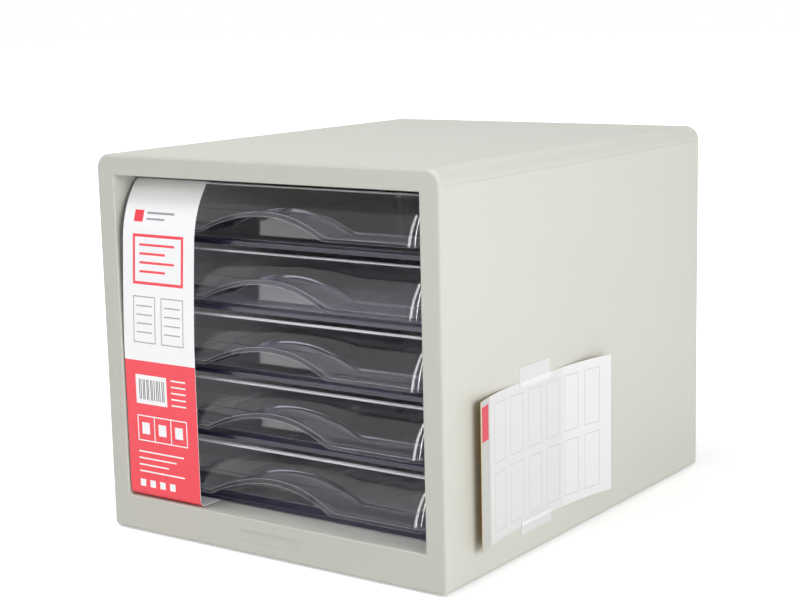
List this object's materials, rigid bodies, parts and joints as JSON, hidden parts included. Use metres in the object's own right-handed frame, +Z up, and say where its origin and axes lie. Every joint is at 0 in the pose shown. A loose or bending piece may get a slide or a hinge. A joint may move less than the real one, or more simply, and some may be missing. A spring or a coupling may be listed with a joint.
{
  "type": "desktop file drawer",
  "caption": "Closed plastic desktop cabinet with a stack of smoked transparent pull-out A4 drawers in a moulded front frame.",
  "frame": {"origin": "centre of the casing's underside", "axes": "+X right and +Y to the back as seen from the front, +Z up"},
  "size_m": [0.286, 0.344, 0.259],
  "materials": {
    "casing_plastic": "fine satin, warm light grey polystyrene",
    "smoked_styrene": "polished smoked transparent polystyrene",
    "band_paper": "coated paper, printed white and red",
    "card_paper": "uncoated white card",
    "tape": "translucent adhesive tape",
    "rubber": "matte black",
    "screw_steel": "zinc plated"
  },
  "bodies": {
    "casing": {"front_frame": "casing_plastic", "back_panel": "casing_plastic", "top_cover": "casing_plastic", "right_side_panel": "casing_plastic", "left_side_panel": "casing_plastic", "right_runner_panel": "casing_plastic", "left_runner_panel": "casing_plastic", "base_panel": "casing_plastic", "rubber_feet": "rubber", "base_screws": "screw_steel", "title_card_sheet": "card_paper", "tape_upper": "tape", "tape_lower": "tape"},
    "pull_drawer_1": {"drawer_1": "smoked_styrene", "front_band_1": "band_paper"},
    "pull_drawer_2": {"drawer_2": "smoked_styrene", "front_band_2": "band_paper"},
    "pull_drawer_3": {"drawer_3": "smoked_styrene", "front_band_3": "band_paper"},
    "pull_drawer_4": {"drawer_4": "smoked_styrene", "front_band_4": "band_paper"},
    "pull_drawer_5": {"drawer_5": "smoked_styrene", "front_band_5": "band_paper"}
  },
  "joints": [
    {"name": "drawer_1_slide", "type": "slide", "parent": "casing", "child": "pull_drawer_1", "axis": [0, -1, 0], "range_m": [0, 0.255]},
    {"name": "drawer_2_slide", "type": "slide", "parent": "casing", "child": "pull_drawer_2", "axis": [0, -1, 0], "range_m": [0, 0.255]},
    {"name": "drawer_3_slide", "type": "slide", "parent": "casing", "child": "pull_drawer_3", "axis": [0, -1, 0], "range_m": [0, 0.255]},
    {"name": "drawer_4_slide", "type": "slide", "parent": "casing", "child": "pull_drawer_4", "axis": [0, -1, 0], "range_m": [0, 0.255]},
    {"name": "drawer_5_slide", "type": "slide", "parent": "casing", "child": "pull_drawer_5", "axis": [0, -1, 0], "range_m": [0, 0.255]}
  ]
}
